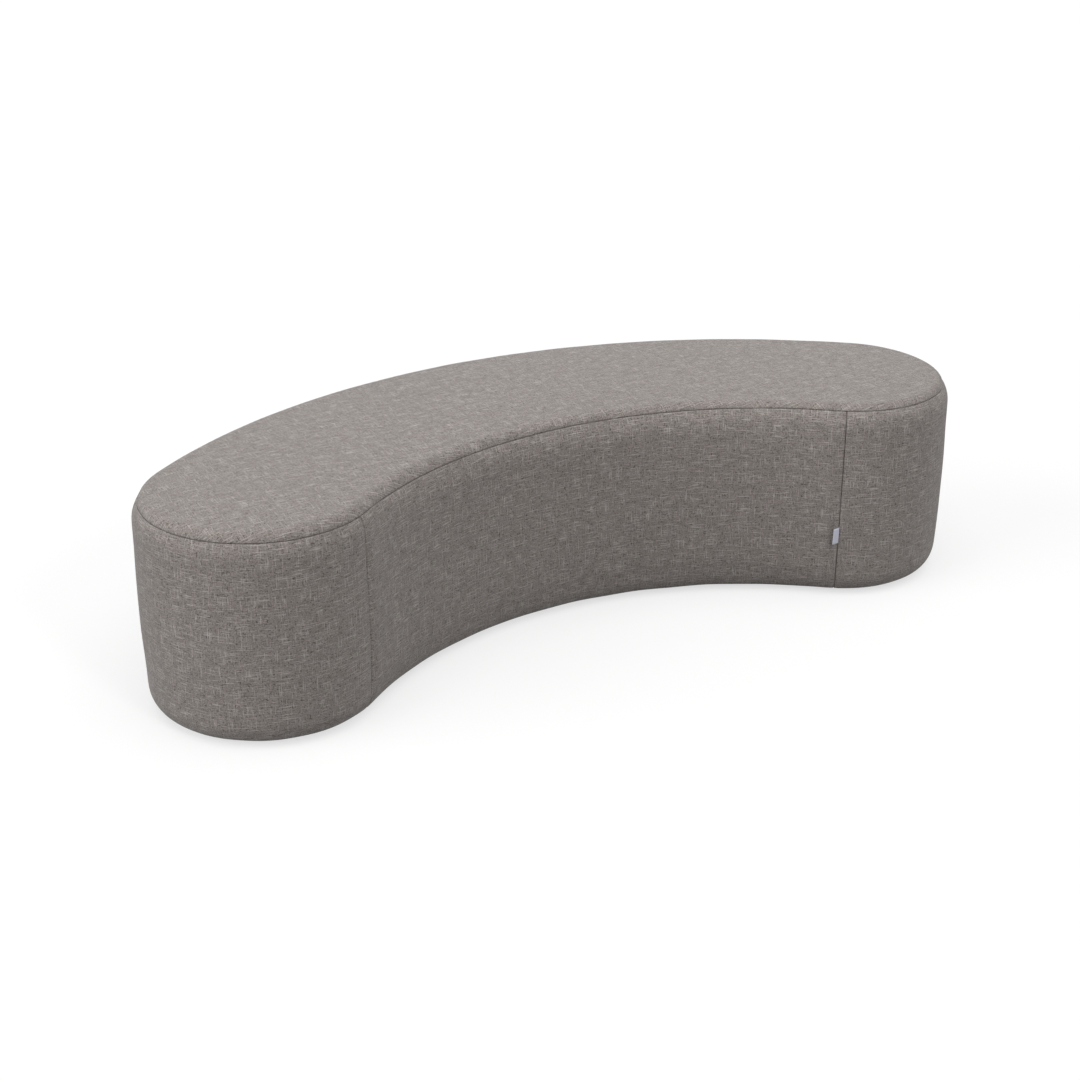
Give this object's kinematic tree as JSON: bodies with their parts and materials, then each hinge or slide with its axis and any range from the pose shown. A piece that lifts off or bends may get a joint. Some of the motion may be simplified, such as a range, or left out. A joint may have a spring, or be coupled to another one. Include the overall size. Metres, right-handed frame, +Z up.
{
  "type": "ottoman",
  "caption": "Crescent-shaped upholstered bench ottoman of constant width with round ends, a crowned seat and a blank seam label.",
  "frame": {"origin": "centre of the footprint, on the floor", "axes": "+X along the bench, +Y towards the outward-curved back, -Y towards the hollow side, +Z up"},
  "size_m": [1.7876, 0.7051, 0.43],
  "materials": {
    "cover_cloth": "linen-look slub weave, grey taupe, matt",
    "label_ribbon": "satin ribbon, pale grey lavender, blank",
    "wadding": "soft polyester fibre sheet",
    "foam": "open-cell upholstery foam",
    "bending_plywood": "raw, sanded",
    "plywood": "raw, sanded, visible plies at the edges",
    "screw_steel": "yellow zinc plating",
    "dust_cloth": "black non-woven cloth",
    "glide_plastic": "moulded, matt black"
  },
  "bodies": {
    "root": {"top_panel": "cover_cloth", "front_panel": "cover_cloth", "outer_panel": "cover_cloth", "side_label": "label_ribbon", "seat_wadding": "wadding", "seat_foam": "foam", "front_foam": "foam", "back_foam": "foam", "left_end_foam": "foam", "right_end_foam": "foam", "front_skin": "bending_plywood", "back_skin": "bending_plywood", "left_end_skin": "bending_plywood", "right_end_skin": "bending_plywood", "seat_board": "plywood", "base_board": "plywood", "rib_middle": "plywood", "rib_left_1": "plywood", "rib_left_2": "plywood", "rib_left_3": "plywood", "rib_right_1": "plywood", "rib_right_2": "plywood", "rib_right_3": "plywood", "fin_left_front": "plywood", "fin_left_nose": "plywood", "fin_left_back": "plywood", "fin_right_front": "plywood", "fin_right_nose": "plywood", "fin_right_back": "plywood", "seat_screws": "screw_steel", "base_screws": "screw_steel", "glide_screws": "screw_steel", "dust_cover": "dust_cloth", "glide_middle_front": "glide_plastic", "glide_middle_back": "glide_plastic", "glide_left_front": "glide_plastic", "glide_left_back": "glide_plastic", "glide_right_front": "glide_plastic", "glide_right_back": "glide_plastic"}
  },
  "joints": []
}
